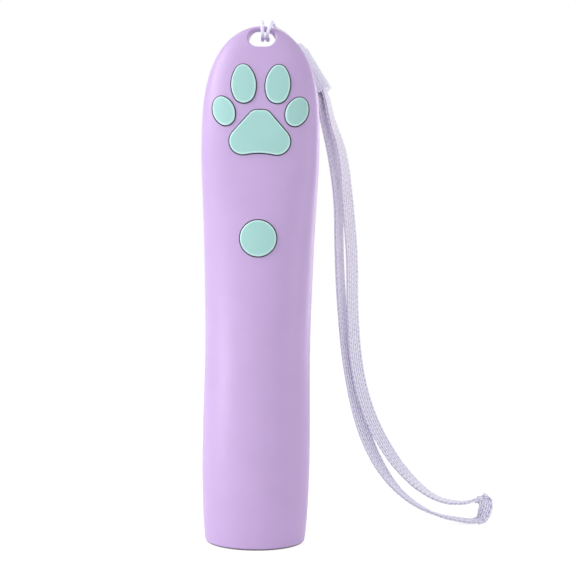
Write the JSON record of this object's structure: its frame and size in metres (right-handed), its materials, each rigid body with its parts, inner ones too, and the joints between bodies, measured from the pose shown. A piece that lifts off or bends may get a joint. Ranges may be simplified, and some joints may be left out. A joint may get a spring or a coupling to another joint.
{
  "type": "cat laser pointer",
  "caption": "Hand-held cat laser pointer with a paw-shaped press key, a round press key, a light end it stands on, and a knitted wrist strap on a thin lanyard cord.",
  "frame": {"origin": "centre of the light end's rest face, on the split plane between the two shells", "axes": "+Z runs from the light end up to the lanyard eye, -Y is the side with the keys, +X is to the right when the keys face the viewer"},
  "size_m": [0.0822, 0.0336, 0.1376],
  "materials": {
    "casing": "satin lilac moulding",
    "keys": "soft mint moulding",
    "nose_plastic": "satin",
    "window_glass": "clear",
    "lens_glass": "clear",
    "barrel_brass": "turned",
    "diode_metal": "gilded",
    "lamp_epoxy": "clear",
    "violet_epoxy": "tinted clear",
    "board_laminate": "solder mask",
    "chip_epoxy": "matt",
    "port_metal": "drawn sheet",
    "tongue_plastic": "matt",
    "switch_plastic": "matt",
    "stem_plastic": "satin",
    "cell_wrap": "shrink film",
    "pad_foam": "foam",
    "lead_sheath": "satin",
    "screw_steel": "plated",
    "cord_thread": "twisted thread",
    "clip_plastic": "satin",
    "strap_knit": "knitted"
  },
  "bodies": {
    "handle": {"front_shell": "casing", "rear_shell": "casing", "nose_plate": "nose_plastic", "laser_window": "window_glass", "laser_barrel": "barrel_brass", "laser_lens": "lens_glass", "laser_diode": "diode_metal", "white_lamp": "lamp_epoxy", "violet_lamp": "violet_epoxy", "lamp_board": "board_laminate", "circuit_board": "board_laminate", "control_chip": "chip_epoxy", "charge_port": "port_metal", "port_tongue": "tongue_plastic", "paw_switch": "switch_plastic", "round_switch": "switch_plastic", "battery_cell": "cell_wrap", "battery_pad": "pad_foam", "battery_leads": "lead_sheath", "lamp_leads": "lead_sheath", "shell_screws": "screw_steel", "lanyard_cord": "cord_thread", "lanyard_clip": "clip_plastic", "wrist_strap": "strap_knit"},
    "paw_button": {"paw_key": "keys"},
    "round_button": {"round_key": "keys"},
    "paw_stem": {"paw_switch_stem": "stem_plastic"},
    "round_stem": {"round_switch_stem": "stem_plastic"}
  },
  "joints": [
    {"name": "paw_press", "type": "slide", "parent": "handle", "child": "paw_button", "axis": [0, 1, 0], "range_m": [0, 0.0003], "stiffness_N_per_m": 4000, "springref_m": -0.0001},
    {"name": "round_press", "type": "slide", "parent": "handle", "child": "round_button", "axis": [0, 1, 0], "range_m": [0, 0.0003], "stiffness_N_per_m": 4000, "springref_m": -0.0001},
    {"name": "paw_stem_press", "type": "slide", "parent": "handle", "child": "paw_stem", "axis": [0, 1, 0], "range_m": [0, 0.0003]},
    {"name": "round_stem_press", "type": "slide", "parent": "handle", "child": "round_stem", "axis": [0, 1, 0], "range_m": [0, 0.0003]}
  ],
  "couplings": [
    {"joint": "paw_stem_press", "follows": "paw_press", "ratio": 1},
    {"joint": "round_stem_press", "follows": "round_press", "ratio": 1}
  ]
}
